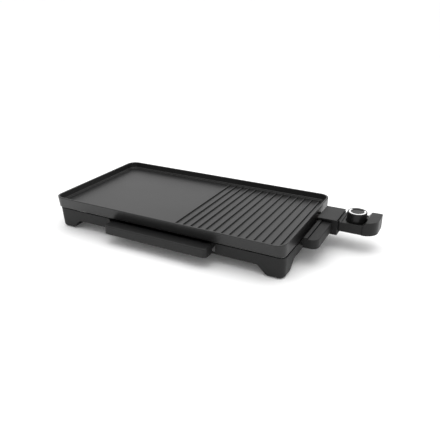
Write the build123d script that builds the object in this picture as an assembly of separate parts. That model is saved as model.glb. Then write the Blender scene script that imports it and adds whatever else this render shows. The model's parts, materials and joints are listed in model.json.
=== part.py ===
from build123d import *
import os

# Electric griddle: a half flat, half ribbed cast plate on a moulded base, with side handles,
# a drip tray that slides out of the front and a plug-in temperature controller on the right.
# Every length is in millimetres. While it is modelled, the plate's centre is x = y = 0 and the
# table is z = 0; +X points to the controller and -Y to the drip tray. At export everything is
# moved so that the origin is the middle of the bounding box's bottom face.

# --- cooking plate ---
plate_length = 533.0
plate_width = 286.0
plate_top = 74.0
plate_height = 26.6
plate_corner = 22.0
plate_end_draft = 0.4
plate_side_draft = 8.0
plate_bottom_corner = 13.0
plate_edge_round = 3.0
rim_thickness = 4.0
rim_round = 1.3
wall_inset = 5.4
ledge_width = 2.0
ledge_height = 2.5
ledge_lip_round = 0.8
ledge_foot_round = 1.1
floor_depth = 14.8
floor_thickness = 4.5
skirt_thickness = 5.0
ridge_count = 14
ridge_pitch = 16.92
ridge_height = 2.8
ridge_foot = 4.0
ridge_crest = 2.8
ridge_end_slope = 1.5
ridge_round = 0.5
ridge_side_margin = 12.6
ridge_end_margin = 5.0
drain_length = 30.0
drain_width = 7.0
drain_margin = 8.0
spout_wall = 2.0

# --- heating element and its terminals ---
element_diameter = 7.0
element_inset = 50.0
element_sink = 1.3
element_bend = 30.0
element_lead_bend = 12.0
element_rib_width = 13.0
element_lip = 1.5
close_fit = 0.05
terminal_spacing = 24.0
terminal_diameter = 4.8
terminal_reach = 21.0
seal_thickness = 3.0
pin_round = 1.2
lead_past_plate = 16.5
controller_setback = 74.0

# --- base ---
base_gap = 2.8
base_end_inset = 1.0
base_side_inset = 11.0
base_draft = 1.8
base_wall = 3.0
base_corner = 13.0
base_round = 5.0
base_bottom = 1.2
foot_floor = 5.0
band_bottom = 21.5
foot_width_top = 54.0
foot_width_bottom = 31.0
foot_depth_top = 53.5
foot_depth_bottom = 33.5
arch_round = 4.0
pad_diameter = 13.0
pad_thickness = 4.0
pad_inset = 22.0
rib_thickness = 3.0
rib_bottom = 27.0
rib_gap = 0.2
post_diameter = 14.0
post_head_room = 0.5
screw_bite_gap = 3.0
post_end_inset = 76.5
post_side_inset = 31.0
post_bottom = 24.0
counterbore_depth = 9.0
fit_clearance = 0.3
screw_clearance = 0.1

# --- heat shield and plate fixings ---
shield_thickness = 0.8
shield_margin = 19.0
shield_corner = 18.0
shield_hole_gap = 0.5
shield_drain_gap = 8.0
spacer_thickness = 1.7
screw_diameter = 4.0
screw_head = 8.0
screw_head_height = 3.0

# --- drip tray ---
bar_length = 240.0
bar_reach = 17.0
bar_depth = 26.5
bar_bottom = 24.0
bar_front_drop = 2.1
bar_back_drop = 2.8
bar_end_round = 9.0
bar_brow_round = 3.0
bar_wall = 2.5
bar_boss_length = 14.0
notch_gap = 5.0
notch_round = 5.0
tray_back = 28.0
tray_wall = 1.6
tray_bottom = 25.0
tray_drop = 3.6
tray_corner = 8.0
tray_side_gap = 2.0
tray_lip = 5.5
tray_lip_front = 14.0
rail_gap = 0.4
rail_thickness = 1.2
rail_flange = 10.0
rail_height = 13.4
rail_back = 22.0
rail_front_gap = 12.0
rail_screw_front = 38.0
rail_screw_back = 14.0
small_screw = 2.6
small_head = 5.4
small_head_height = 1.8
small_boss_wall = 1.5
screw_slot = 1.0
screw_slot_depth = 1.2

# --- side handles ---
handle_gap = 7.0
handle_depth = 27.5
handle_half_length = 58.0
handle_strip_width = 7.5
handle_strip_drop = 15.0
handle_top_drop = 17.5
handle_arm_drop = 6.6
handle_groove = 1.4
handle_groove_depth = 2.0
handle_corner = 14.0
handle_wall = 3.0
handle_arm_thickness = 6.0
handle_arm_half = 50.0
handle_round = 1.5
small_round = 0.8
handle_screw_spread = 32.0
handle_spread_loss = 12.0
handle_arm_end_gap = 4.0

# --- inlet housing around the terminals ---
inlet_gap = 8.5
inlet_length = 37.5
inlet_half_width = 32.0
inlet_height = 30.0
inlet_drop = 13.0
inlet_wall = 3.0
inlet_arm_thickness = 7.0
inlet_arm_half = 25.0
inlet_screw_inset = 6.0
lead_slot_gap = 0.5
probe_slot_gap = 1.2
cover_thickness = 3.0
cover_overhang = 2.5
cover_inner_lap = 4.0
cover_front_gap = 1.5
cover_tab = 1.6
cover_tab_depth = 7.0
cover_tab_start = 2.0
cover_tab_length = 8.0
cover_round = 1.0

# --- temperature controller ---
body_gap = 2.5
body_length = 73.0
body_half_width = 30.0
body_drop = 33.0
seam_height = 4.5
deck_drop = 13.5
deck_recess = 1.6
deck_lip = 2.6
deck_corner = 2.5
deck_end_gap = 1.4
end_proud = 1.2
end_crease = 1.0
end_drop = 5.0
end_length = 21.5
ramp_length = 6.0
front_sweep = 26.0
back_sweep = 4.0
shell_wall = 2.2
nose_length = 24.0
nose_half_width = 24.5
nose_below = 9.0
nose_above = 7.5
shell_boss_radius = 3.6
shell_screw_inset = 6.5
end_screw_inset = 7.5
end_screw_shift = 18.5
middle_screw_shift = 4.0
shell_screw_length = 13.0
deck_lip_round = 0.8
dial_offset = 27.8
dial_shift = 3.5
dial_diameter = 39.0
dial_height = 22.3
dial_skirt_gap = 0.4
dial_well_gap = 2.0
dial_well_depth = 4.5
dial_wall = 2.4
dial_dish = 0.8
dial_round = 1.2
dial_cap = 5.0
hub_wall = 2.5
hub_drop = 3.0
spindle_flat = 1.0
ring_outer = 33.8
ring_inner = 27.2
ring_depth = 1.0
ring_opening = 110.0
spindle_diameter = 6.0
spindle_clearance = 0.05
spindle_grip = 9.0
probe_diameter = 6.0
probe_clearance = 0.3
probe_reach = 124.0
probe_rib_wall = 4.0
probe_end_gap = 8.0
probe_round = 2.4
block_length = 19.0
block_half_width = 20.0
block_height = 10.4
block_start = 1.5
block_foot = 4.0
blind_depth = 2.0
contact_outer = 7.6
contact_clearance = 0.3
lens_length = 9.0
lens_width = 3.4
lens_proud = 0.5
lens_shift = 23.5
lens_setback = 9.0
lens_round = 0.4
lamp_length = 8.0
lamp_radius = 1.3
gland_bore = 6.4
gland_wall = 2.2
gland_flange = 2.2
gland_flange_reach = 1.6
gland_tail = 2.0
gland_shift = 3.0

# --- worked-out places ---
half_length = plate_length / 2
half_width = plate_width / 2
plate_bottom = plate_top - plate_height
floor_top = plate_top - floor_depth
floor_bottom = floor_top - floor_thickness
ledge_top = floor_top + ledge_height
wall_foot_x = half_length - wall_inset
wall_foot_y = half_width - wall_inset
floor_half_x = wall_foot_x - ledge_width
floor_half_y = wall_foot_y - ledge_width
skirt_half_x = half_length - plate_end_draft - plate_edge_round - skirt_thickness
skirt_half_y = half_width - plate_side_draft - skirt_thickness
element_radius = element_diameter / 2
element_z = floor_bottom - element_radius + element_sink
element_rib_bottom = element_z - element_radius - element_lip
lead_end = half_length + lead_past_plate
base_top = plate_bottom - base_gap
base_half_x = half_length - base_end_inset
base_half_y = half_width - base_side_inset
base_slope = base_draft / (base_top - base_bottom)
rib_top = base_top - rib_gap
post_x = half_length - post_end_inset
post_y = half_width - post_side_inset
shield_top = rib_top + shield_thickness
boss_bottom = shield_top + spacer_thickness
controller_y = half_width - controller_setback
terminal_low_y = controller_y - terminal_spacing / 2
terminal_high_y = controller_y + terminal_spacing / 2
notch_half = bar_length / 2 + notch_gap
rib_x = notch_half + 0.5
bar_front = half_width + bar_reach
bar_back = bar_front - bar_depth
bar_front_top = base_top - bar_front_drop
bar_back_top = base_top - bar_back_drop
tray_top = rib_top - tray_drop
rail_bottom = rib_top - rail_height
rail_web_x = rib_x - rail_thickness
rail_flange_x = rail_web_x - rail_flange
tray_half = rail_flange_x - tray_side_gap
lip_half = tray_half + tray_lip
lip_bottom = tray_top - tray_wall
handle_strip_x = half_length + handle_gap
handle_reach = handle_strip_x + handle_depth
handle_strip_top = plate_top - handle_strip_drop
handle_top = plate_top - handle_top_drop
handle_bottom = base_top - handle_arm_drop
inlet_x = half_length + inlet_gap
inlet_end = inlet_x + inlet_length
inlet_top = plate_top - inlet_drop
inlet_bottom = inlet_top - inlet_height
body_start = inlet_end + body_gap
body_end = body_start + body_length
body_bottom = plate_top - body_drop
body_seam = body_bottom + seam_height
deck_top = plate_top - deck_drop
deck_floor = deck_top - deck_recess
end_top = plate_top - end_drop
ramp_x = body_end - end_length - ramp_length
dial_x = body_start + dial_offset
dial_y = controller_y - dial_shift
well_radius = dial_diameter / 2 + dial_well_gap
well_floor = deck_top - dial_well_depth
nose_start = body_start - nose_length
nose_bottom = element_z - nose_below
nose_top = element_z + nose_above
probe_radius = probe_diameter / 2
drain_y = -(floor_half_y - drain_margin - drain_width / 2)

# The drip tray's bar reaches furthest forward and the plate furthest back.
origin_x = (body_end - handle_reach) / 2
origin_y = (half_width - bar_front) / 2


def box_between(low, high):
    """A box from its lowest to its highest corner."""
    size = [b - a for a, b in zip(low, high)]
    middle = [(a + b) / 2 for a, b in zip(low, high)]
    return Location(tuple(middle)) * Box(*size)


def rounded_face(half_x, half_y, corner, z):
    """A level rounded rectangle about the plate's centre."""
    return Plane.XY.offset(z) * RectangleRounded(2 * half_x, 2 * half_y, corner)


def tapered_block(low, high):
    """A rounded block between two (half_x, half_y, corner, z) outlines."""
    return loft([rounded_face(*low), rounded_face(*high)], ruled=True)


def rod_x(x_low, x_high, y, z, radius):
    """A round bar along X."""
    start = Plane(origin=(x_low, y, z), z_dir=(1, 0, 0))
    return extrude(start * Circle(radius), amount=x_high - x_low)


def rod_y(y_low, y_high, x, z, radius):
    """A round bar along Y."""
    start = Plane(origin=(x, y_low, z), z_dir=(0, 1, 0))
    return extrude(start * Circle(radius), amount=y_high - y_low)


def rod_z(z_low, z_high, x, y, radius):
    """A round bar along Z."""
    start = Plane(origin=(x, y, z_low), z_dir=(0, 0, 1))
    return extrude(start * Circle(radius), amount=z_high - z_low)


def edges_at(shape, z):
    """Edges that lie wholly at one height."""
    return shape.edges().filter_by_position(Axis.Z, z - 0.01, z + 0.01)


def four_corners(x, y):
    """The four mirrored places (x, y)."""
    return [(sx * x, sy * y) for sx in (-1, 1) for sy in (-1, 1)]


# --- heating element route, seen from above ---
def element_route(z):
    """The element's bent loop, from one terminal lead round to the other."""
    far_x = half_length - element_inset
    low_y = -(half_width - element_inset - element_diameter)
    corners = [(lead_end, terminal_high_y, z), (-far_x, terminal_high_y, z), (-far_x, low_y, z),
               (far_x, low_y, z), (far_x, terminal_low_y, z), (lead_end, terminal_low_y, z)]
    bends = [element_bend, element_bend, element_bend, element_lead_bend]
    pieces = []
    start = Vector(*corners[0])
    for before, corner, after, bend in zip(corners, corners[1:], corners[2:], bends):
        toward = (Vector(*corner) - Vector(*before)).normalized()
        away = (Vector(*after) - Vector(*corner)).normalized()
        bend_start = Vector(*corner) - toward * bend
        bend_end = Vector(*corner) + away * bend
        pieces.append(Line(start, bend_start))
        pieces.append(TangentArc([bend_start, bend_end], tangent=toward))
        start = bend_end
    pieces.append(Line(start, Vector(*corners[-1])))
    return Wire(pieces)


def element_sweep(radius):
    """A round section swept along the element's loop."""
    route = element_route(element_z)
    section = Plane(origin=route @ 0, z_dir=route % 0) * Circle(radius)
    return sweep(section, path=route)


def element_strip(width, z_low, z_high):
    """A flat strip of the element's route between two heights."""
    outline = trace(element_route(0), line_width=width)
    return extrude(Plane.XY.offset(z_low) * outline, amount=z_high - z_low)


def heating_element():
    return element_sweep(element_radius)


def element_end_seals():
    seals = []
    for y in (terminal_low_y, terminal_high_y):
        ring = rod_x(lead_end, lead_end + seal_thickness, y, element_z, element_radius - 0.1)
        bore = rod_x(lead_end, lead_end + seal_thickness, y, element_z,
                     terminal_diameter / 2 + close_fit)
        seals.append(ring - bore)
    return seals


def terminal_pins():
    pins = []
    for y in (terminal_low_y, terminal_high_y):
        pin = rod_x(lead_end, lead_end + terminal_reach, y, element_z, terminal_diameter / 2)
        tip = pin.edges().sort_by(Axis.X)[-1]
        pins.append(fillet(tip, radius=pin_round))
    return pins


# --- cooking plate ---
def plate_ridge(x):
    """One raised ridge of the grill half, drafted all round with round ends."""
    foot_half = ridge_foot / 2
    crest_half = ridge_crest / 2
    reach = floor_half_y - ridge_end_margin
    foot = (foot_half, reach, foot_half - 0.05, floor_top - 0.2)
    crest = (crest_half, reach - ridge_end_slope, crest_half - 0.05, floor_top + ridge_height)
    ridge = tapered_block(foot, crest)
    ridge = fillet(edges_at(ridge, floor_top + ridge_height), radius=ridge_round)
    return Pos(x, 0, 0) * ridge


def cooking_plate():
    lower_x = half_length - plate_end_draft
    lower_y = half_width - plate_side_draft
    plate = tapered_block((lower_x, lower_y, plate_bottom_corner, plate_bottom),
                          (half_length, half_width, plate_corner, plate_top))
    plate = fillet(edges_at(plate, plate_bottom), radius=plate_edge_round)

    wall_corner = plate_corner - rim_thickness
    foot_corner = plate_corner - wall_inset
    dish = tapered_block((wall_foot_x, wall_foot_y, foot_corner, ledge_top),
                         (half_length - rim_thickness, half_width - rim_thickness, wall_corner,
                          plate_top))
    dish += tapered_block((floor_half_x, floor_half_y, foot_corner - ledge_width, floor_top),
                          (floor_half_x, floor_half_y, foot_corner - ledge_width, ledge_top))
    plate -= dish
    plate = fillet(edges_at(plate, plate_top), radius=rim_round)
    ledge_lip = [e for e in edges_at(plate, ledge_top)
                 if max(abs(e.center().X) - floor_half_x, abs(e.center().Y) - floor_half_y) < 0.5]
    plate = fillet(ledge_lip, radius=ledge_lip_round)
    plate = fillet(edges_at(plate, floor_top), radius=ledge_foot_round)

    under = tapered_block((skirt_half_x, skirt_half_y, foot_corner, plate_bottom - 1),
                          (skirt_half_x, skirt_half_y, foot_corner, floor_bottom))
    plate -= under

    first_ridge = floor_half_x - ridge_side_margin - (ridge_count - 1) * ridge_pitch
    for i in range(ridge_count):
        plate += plate_ridge(first_ridge + i * ridge_pitch)

    inside = tapered_block((skirt_half_x + 1, skirt_half_y + 1, foot_corner, element_rib_bottom),
                           (skirt_half_x + 1, skirt_half_y + 1, foot_corner, floor_bottom + 1))
    ribs = element_strip(element_rib_width, element_rib_bottom, floor_bottom + 0.5)
    probe_start = lead_end - probe_reach
    probe_half = probe_radius + probe_rib_wall
    ribs += box_between((probe_start, controller_y - probe_half, element_rib_bottom),
                        (lead_end, controller_y + probe_half, floor_bottom + 0.5))
    plate += ribs & inside
    for x, y in four_corners(post_x, post_y):
        plate += rod_z(boss_bottom, floor_bottom + 0.5, x, y, post_diameter / 2 - 0.5)

    drain_half = drain_length / 2
    spout_half = drain_width / 2 + spout_wall
    plate += box_between((-drain_half - spout_wall, drain_y - spout_half, plate_bottom - 1),
                         (drain_half + spout_wall, drain_y + spout_half, floor_bottom + 0.5))
    drain_slot = Plane.XY.offset(plate_bottom - 2) * Pos(0, drain_y) * RectangleRounded(
        drain_length, drain_width, drain_width / 2 - 0.1)
    plate -= extrude(drain_slot, amount=floor_top - plate_bottom + 3)

    plate -= element_sweep(element_radius + close_fit)
    plate -= element_strip(element_diameter - 2, element_rib_bottom - 1, element_z)
    plate -= rod_x(probe_start + probe_end_gap - 2, lead_end, controller_y, element_z,
                   probe_radius + probe_clearance)
    for x, y in four_corners(post_x, post_y):
        plate -= rod_z(boss_bottom - 1, floor_top - screw_bite_gap, x, y,
                       screw_diameter / 2 + close_fit)
    return plate


# --- base ---
def base_outline(z, inset=0.0):
    """Half sizes, corner and height of the base's drafted outside, or of a wall inside it."""
    shrink = (base_top - z) * base_slope + inset
    return (base_half_x - shrink, base_half_y - shrink, max(base_corner - inset, 2.0), z)


def base_solid():
    """The base's full outside, without its hollow."""
    return tapered_block(base_outline(base_bottom), base_outline(base_top))


def base_side_x(z):
    """How far the base's outside reaches along X at a height."""
    return base_outline(z)[0]


def arch_cutters():
    """The openings between the feet, along the long sides and along the ends."""
    low = base_bottom - 2
    top_x = base_half_x - foot_width_top
    low_x = base_half_x - foot_width_bottom
    top_y = base_half_y - foot_depth_top
    low_y = base_half_y - foot_depth_bottom
    long_outline = make_face(Polyline((-low_x, low), (-top_x, band_bottom), (top_x, band_bottom),
                                      (low_x, low), close=True))
    short_outline = make_face(Polyline((-low_y, low), (-top_y, band_bottom), (top_y, band_bottom),
                                       (low_y, low), close=True))
    long_arch = extrude(Plane.XZ * long_outline, amount=half_width, both=True)
    short_arch = extrude(Plane.YZ * short_outline, amount=half_length, both=True)
    long_arch = fillet(edges_at(long_arch, band_bottom).filter_by(Axis.Y), radius=arch_round)
    short_arch = fillet(edges_at(short_arch, band_bottom).filter_by(Axis.X), radius=arch_round)
    return long_arch, short_arch


def tray_notch():
    """The gap in the front wall that the tray passes through, flared round its top corners."""
    low = tray_bottom - rail_gap
    shoulder = base_top - notch_round
    outline = Polyline((-notch_half, low), (notch_half, low), (notch_half, shoulder))
    outline += RadiusArc((notch_half, shoulder), (notch_half + notch_round, base_top), notch_round)
    outline += Polyline((notch_half + notch_round, base_top),
                        (notch_half + notch_round, base_top + 2),
                        (-notch_half - notch_round, base_top + 2),
                        (-notch_half - notch_round, base_top))
    outline += RadiusArc((-notch_half - notch_round, base_top), (-notch_half, shoulder),
                         notch_round)
    outline += Line((-notch_half, shoulder), (-notch_half, low))
    cutter = extrude(Plane.XZ * make_face(outline), amount=2 * base_wall + base_draft)
    return Pos(0, -(base_half_y - base_wall - base_draft), 0) * cutter


def handle_screw_places():
    """(side, y) of each handle screw; the right handle is shorter, so its pair is closer."""
    right_middle = (handle_end_right() - handle_half_length) / 2
    right_spread = handle_screw_spread - handle_spread_loss
    return [(-1, -handle_screw_spread), (-1, handle_screw_spread),
            (1, right_middle - right_spread), (1, right_middle + right_spread)]


def handle_end_right():
    """Where the right handle meets the inlet housing."""
    return controller_y - inlet_half_width


def base_frame():
    frame = base_solid()
    frame = fillet(edges_at(frame, base_bottom), radius=base_round)
    frame -= tapered_block(base_outline(base_bottom + foot_floor, base_wall),
                           base_outline(base_top + 0.001, base_wall))
    frame -= tapered_block(base_outline(base_top, base_wall), base_outline(base_top + 2, base_wall))

    long_arch, short_arch = arch_cutters()
    frame -= long_arch
    frame -= short_arch

    inside = tapered_block(base_outline(base_bottom + foot_floor, base_wall / 2),
                           base_outline(rib_top, base_wall / 2))
    webs = Part()
    for side in (-1, 1):
        near = side * rib_x
        far = side * (rib_x + rib_thickness)
        webs += box_between((min(near, far), -base_half_y, rib_bottom),
                            (max(near, far), base_half_y, rib_top))
    for x, y in four_corners(post_x, post_y):
        webs += rod_z(post_bottom, rib_top, x, y, post_diameter / 2)
        wall_y = base_half_y if y > 0 else -base_half_y
        webs += box_between((x - rib_thickness / 2, min(y, wall_y), rib_bottom),
                            (x + rib_thickness / 2, max(y, wall_y), rib_top))
    frame += webs & inside

    for x, y in four_corners(post_x, post_y):
        frame -= rod_z(post_bottom - 1, post_bottom + counterbore_depth, x, y,
                       screw_head / 2 + post_head_room)
        frame -= rod_z(post_bottom, rib_top + 1, x, y, screw_diameter / 2 + screw_clearance)

    for side, y in handle_screw_places():
        frame += side_screw_boss(side, y, handle_screw_z())
    for y in inlet_screw_places():
        frame += side_screw_boss(1, y, inlet_screw_z())
    for side, y in handle_screw_places():
        frame -= side_screw_hole(side, y, handle_screw_z())
    for y in inlet_screw_places():
        frame -= side_screw_hole(1, y, inlet_screw_z())

    for x, y in four_corners(base_half_x - pad_inset, base_half_y - pad_inset):
        frame -= rod_z(base_bottom - 1, pad_thickness, x, y, pad_diameter / 2 + screw_clearance)
    for side in (-1, 1):
        for y in rail_screw_places():
            rib_far = side * (rib_x + rib_thickness + 1)
            frame -= rod_x(min(side * rail_web_x, rib_far), max(side * rail_web_x, rib_far),
                           y, rail_screw_z(), small_screw / 2 + screw_clearance)
    frame -= tray_notch()
    return frame


def side_screw_face():
    """Where the heads of the side screws bear, inside the base's end walls."""
    return base_half_x - base_draft - base_wall - small_boss_wall


def side_screw_boss(side, y, z):
    """A flat pad inside an end wall for one screw head."""
    inner = side_screw_face()
    outer = base_side_x(z) - base_wall / 2
    boss = rod_x(inner, outer, y, z, small_head / 2 + small_boss_wall)
    return boss if side > 0 else mirror(boss, about=Plane.YZ)


def side_screw_hole(side, y, z):
    """A clearance hole through an end wall."""
    hole = rod_x(side_screw_face() - 1, base_half_x + 1, y, z,
                 small_screw / 2 + screw_clearance)
    return hole if side > 0 else mirror(hole, about=Plane.YZ)


def side_screw(side, y, z):
    """One screw through an end wall, its head inside the base."""
    face = side_screw_face()
    screw = rod_x(face - small_head_height, face, y, z, small_head / 2)
    screw += rod_x(face, inlet_x - 4, y, z, small_screw / 2)
    return screw if side > 0 else mirror(screw, about=Plane.YZ)


def pilot_hole(side, y, z):
    """The hole in a handle or housing that such a screw bites into."""
    hole = rod_x(side_screw_face(), inlet_x - 3, y, z, small_screw / 2 + close_fit)
    return hole if side > 0 else mirror(hole, about=Plane.YZ)


def handle_screw_z():
    return handle_bottom + handle_arm_thickness / 2


def inlet_screw_z():
    return inlet_bottom + inlet_arm_thickness / 2


def inlet_screw_places():
    reach = inlet_arm_half - inlet_screw_inset
    return [controller_y - reach, controller_y + reach]


def foot_pads():
    return [rod_z(0, pad_thickness, x, y, pad_diameter / 2)
            for x, y in four_corners(base_half_x - pad_inset, base_half_y - pad_inset)]


# --- side handles ---
def side_handle(y_low, y_high, round_back):
    """A handle on the +X end: a hollow grip carried on an arm from the base's end wall."""
    grip = box_between((handle_strip_x, y_low, handle_bottom),
                       (handle_reach, y_high, handle_strip_top))
    uprights = grip.edges().filter_by(Axis.Z)
    outer = [e for e in uprights if e.center().X > handle_reach - 1
             and (round_back or e.center().Y < y_high - 1)]
    grip = fillet(outer, radius=handle_corner)
    step_x = handle_strip_x + handle_strip_width
    grip -= box_between((step_x, y_low - 1, handle_top), (handle_reach + 1, y_high + 1,
                                                          handle_strip_top + 1))
    top_edges = [e for e in edges_at(grip, handle_top) if e.center().X > step_x + 1]
    grip = fillet(top_edges, radius=handle_round)
    grip = fillet(edges_at(grip, handle_strip_top), radius=small_round)
    grip -= box_between((step_x, y_low - 1, handle_top - handle_groove_depth),
                        (step_x + handle_groove, y_high + 1, handle_top + 1))
    hollow_low = y_low + handle_wall
    hollow_high = y_high - handle_wall
    hollow = box_between((handle_strip_x + handle_wall, hollow_low, handle_bottom - 1),
                         (handle_reach - handle_wall, hollow_high,
                          handle_top - handle_groove_depth - handle_wall))
    hollow_corners = [e for e in hollow.edges().filter_by(Axis.Z)
                      if e.center().X > handle_reach - handle_wall - 1]
    grip -= fillet(hollow_corners, radius=handle_corner - handle_wall)
    arm_low = max(y_low + handle_arm_end_gap, -handle_arm_half)
    arm_high = min(y_high - handle_arm_end_gap, handle_arm_half) if round_back else y_high
    arm = box_between((base_half_x - 2 * base_draft, arm_low, handle_bottom),
                      (handle_strip_x + 1, arm_high, handle_bottom + handle_arm_thickness))
    return (grip + arm) - base_solid()


def left_handle():
    handle = mirror(side_handle(-handle_half_length, handle_half_length, True), about=Plane.YZ)
    for side, y in handle_screw_places():
        if side < 0:
            handle -= pilot_hole(side, y, handle_screw_z())
    return handle


def right_handle():
    handle = side_handle(-handle_half_length, handle_end_right(), False)
    for side, y in handle_screw_places():
        if side > 0:
            handle -= pilot_hole(side, y, handle_screw_z())
    return handle


def handle_screws():
    return [side_screw(side, y, handle_screw_z()) for side, y in handle_screw_places()]


# --- inlet housing ---
def inlet_housing():
    low_y = controller_y - inlet_half_width
    high_y = controller_y + inlet_half_width
    housing = box_between((inlet_x, low_y, inlet_bottom), (inlet_end, high_y, inlet_top))
    housing = fillet(edges_at(housing, inlet_bottom), radius=small_round)
    housing -= box_between((inlet_x + inlet_wall, low_y + inlet_wall, inlet_bottom + inlet_wall),
                           (inlet_end + 1, high_y - inlet_wall, inlet_top + 1))
    for y in (terminal_low_y, terminal_high_y):
        half = element_radius + lead_slot_gap
        housing -= box_between((inlet_x - 1, y - half, element_z - half),
                               (inlet_x + inlet_wall + 1, y + half, inlet_top + 1))
    half = probe_radius + probe_slot_gap
    housing -= box_between((inlet_x - 1, controller_y - half, element_z - half),
                           (inlet_x + inlet_wall + 1, controller_y + half, inlet_top + 1))
    arm = box_between((base_half_x - 2 * base_draft, controller_y - inlet_arm_half, inlet_bottom),
                      (inlet_x + 1, controller_y + inlet_arm_half,
                       inlet_bottom + inlet_arm_thickness))
    housing += arm - base_solid()
    for y in inlet_screw_places():
        housing -= pilot_hole(1, y, inlet_screw_z())
    return housing


def inlet_cover():
    low_y = controller_y - inlet_half_width - cover_overhang
    high_y = controller_y + inlet_half_width + cover_overhang
    cover = box_between((inlet_x - cover_inner_lap, low_y, inlet_top),
                        (inlet_end - cover_front_gap, high_y, inlet_top + cover_thickness))
    cover = fillet(edges_at(cover, inlet_top + cover_thickness), radius=cover_round)
    inner_low = controller_y - inlet_half_width + inlet_wall + screw_clearance
    inner_high = controller_y + inlet_half_width - inlet_wall - screw_clearance
    tab_x = inlet_x + inlet_wall + cover_tab_start
    for y_low, y_high in ((inner_low, inner_low + cover_tab), (inner_high - cover_tab, inner_high)):
        cover += box_between((tab_x, y_low, inlet_top - cover_tab_depth),
                             (tab_x + cover_tab_length, y_high, inlet_top + 1))
    return cover


def inlet_screws():
    return [side_screw(1, y, inlet_screw_z()) for y in inlet_screw_places()]


# --- plate fixings and heat shield ---
def heat_shield():
    outline = (half_length - shield_margin, half_width - shield_margin, shield_corner)
    shield = tapered_block((*outline, rib_top), (*outline, shield_top))
    for x, y in four_corners(post_x, post_y):
        shield -= rod_z(rib_top - 1, shield_top + 1, x, y, screw_diameter / 2 + shield_hole_gap)
    open_half = drain_length / 2 + shield_drain_gap
    shield -= box_between((-open_half, -half_width, rib_top - 1),
                          (open_half, drain_y + drain_width / 2 + shield_drain_gap,
                           shield_top + 1))
    return shield


def insulating_spacers():
    spacers = []
    for x, y in four_corners(post_x, post_y):
        ring = rod_z(shield_top, boss_bottom, x, y, post_diameter / 2)
        spacers.append(ring - rod_z(shield_top - 1, boss_bottom + 1, x, y,
                                    screw_diameter / 2 + screw_clearance))
    return spacers


def plate_screws():
    bearing = post_bottom + counterbore_depth
    screws = []
    for x, y in four_corners(post_x, post_y):
        screw = rod_z(bearing - screw_head_height, bearing, x, y, screw_head / 2)
        screw += rod_z(bearing, floor_top - screw_bite_gap - 1, x, y, screw_diameter / 2)
        head_bottom = bearing - screw_head_height
        slot = box_between((x - screw_head / 2, y - screw_slot / 2, head_bottom - 1),
                           (x + screw_head / 2, y + screw_slot / 2,
                            head_bottom + screw_slot_depth))
        screws.append(screw - slot)
    return screws


# --- drip tray and its rails ---
def rail_screw_z():
    return (rail_bottom + lip_bottom - rail_gap - rail_thickness) / 2 + 0.5


def rail_screw_places():
    return [-(base_half_y - rail_screw_front), -(rail_back + rail_screw_back)]


def tray_rail(side):
    """A C-shaped channel that a side lip of the tray runs in."""
    front = -(base_half_y - base_wall - rail_front_gap)
    web = box_between((rail_web_x, front, rail_bottom), (rib_x, -rail_back, rib_top - 0.5))
    lower_top = lip_bottom - rail_gap
    upper_bottom = tray_top + rail_gap
    rail = web + box_between((rail_flange_x, front, lower_top - rail_thickness),
                             (rib_x, -rail_back, lower_top))
    rail += box_between((rail_flange_x, front, upper_bottom),
                        (rib_x, -rail_back, upper_bottom + rail_thickness))
    rail += box_between((rail_flange_x, -rail_back - rail_thickness, lower_top - rail_thickness),
                        (rib_x, -rail_back, upper_bottom + rail_thickness))
    for y in rail_screw_places():
        rail -= rod_x(rail_web_x - 1, rib_x + 1, y, rail_screw_z(),
                      small_screw / 2 + screw_clearance)
    return rail if side > 0 else mirror(rail, about=Plane.YZ)


def rail_screws():
    screws = []
    for y in rail_screw_places():
        screw = rod_x(rail_web_x - small_head_height, rail_web_x, y, rail_screw_z(),
                      small_head / 2)
        screw += rod_x(rail_web_x, rib_x + rib_thickness + 1, y, rail_screw_z(), small_screw / 2)
        screws.append(screw)
        screws.append(mirror(screw, about=Plane.YZ))
    return screws


def drip_tray():
    middle = -(bar_back + tray_back) / 2
    half_depth = (bar_back - tray_back) / 2
    outer = Plane.XY.offset(tray_bottom) * RectangleRounded(2 * tray_half, 2 * half_depth,
                                                            tray_corner)
    inner = Plane.XY.offset(tray_bottom + tray_wall) * RectangleRounded(
        2 * (tray_half - tray_wall), 2 * (half_depth - tray_wall), tray_corner - tray_wall)
    tray = extrude(outer, amount=tray_top - tray_bottom)
    lips = box_between((-lip_half, -half_depth + tray_lip_front, lip_bottom),
                       (lip_half, half_depth - tray_corner, tray_top))
    tray += lips
    tray -= extrude(inner, amount=tray_top)
    tray += box_between((-tray_half + tray_corner, -half_depth, tray_bottom),
                        (tray_half - tray_corner, -half_depth + 2 * tray_wall, tray_top))
    tray = Pos(0, middle, 0) * tray
    for x in bar_screw_places():
        tray -= rod_y(-bar_back - 1, -bar_back + 2 * tray_wall + 1, x, bar_screw_z(),
                      small_screw / 2 + screw_clearance)
    return tray


def bar_screw_places():
    return [-bar_length / 4, bar_length / 4]


def bar_screw_z():
    return (tray_bottom + tray_top) / 2


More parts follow.
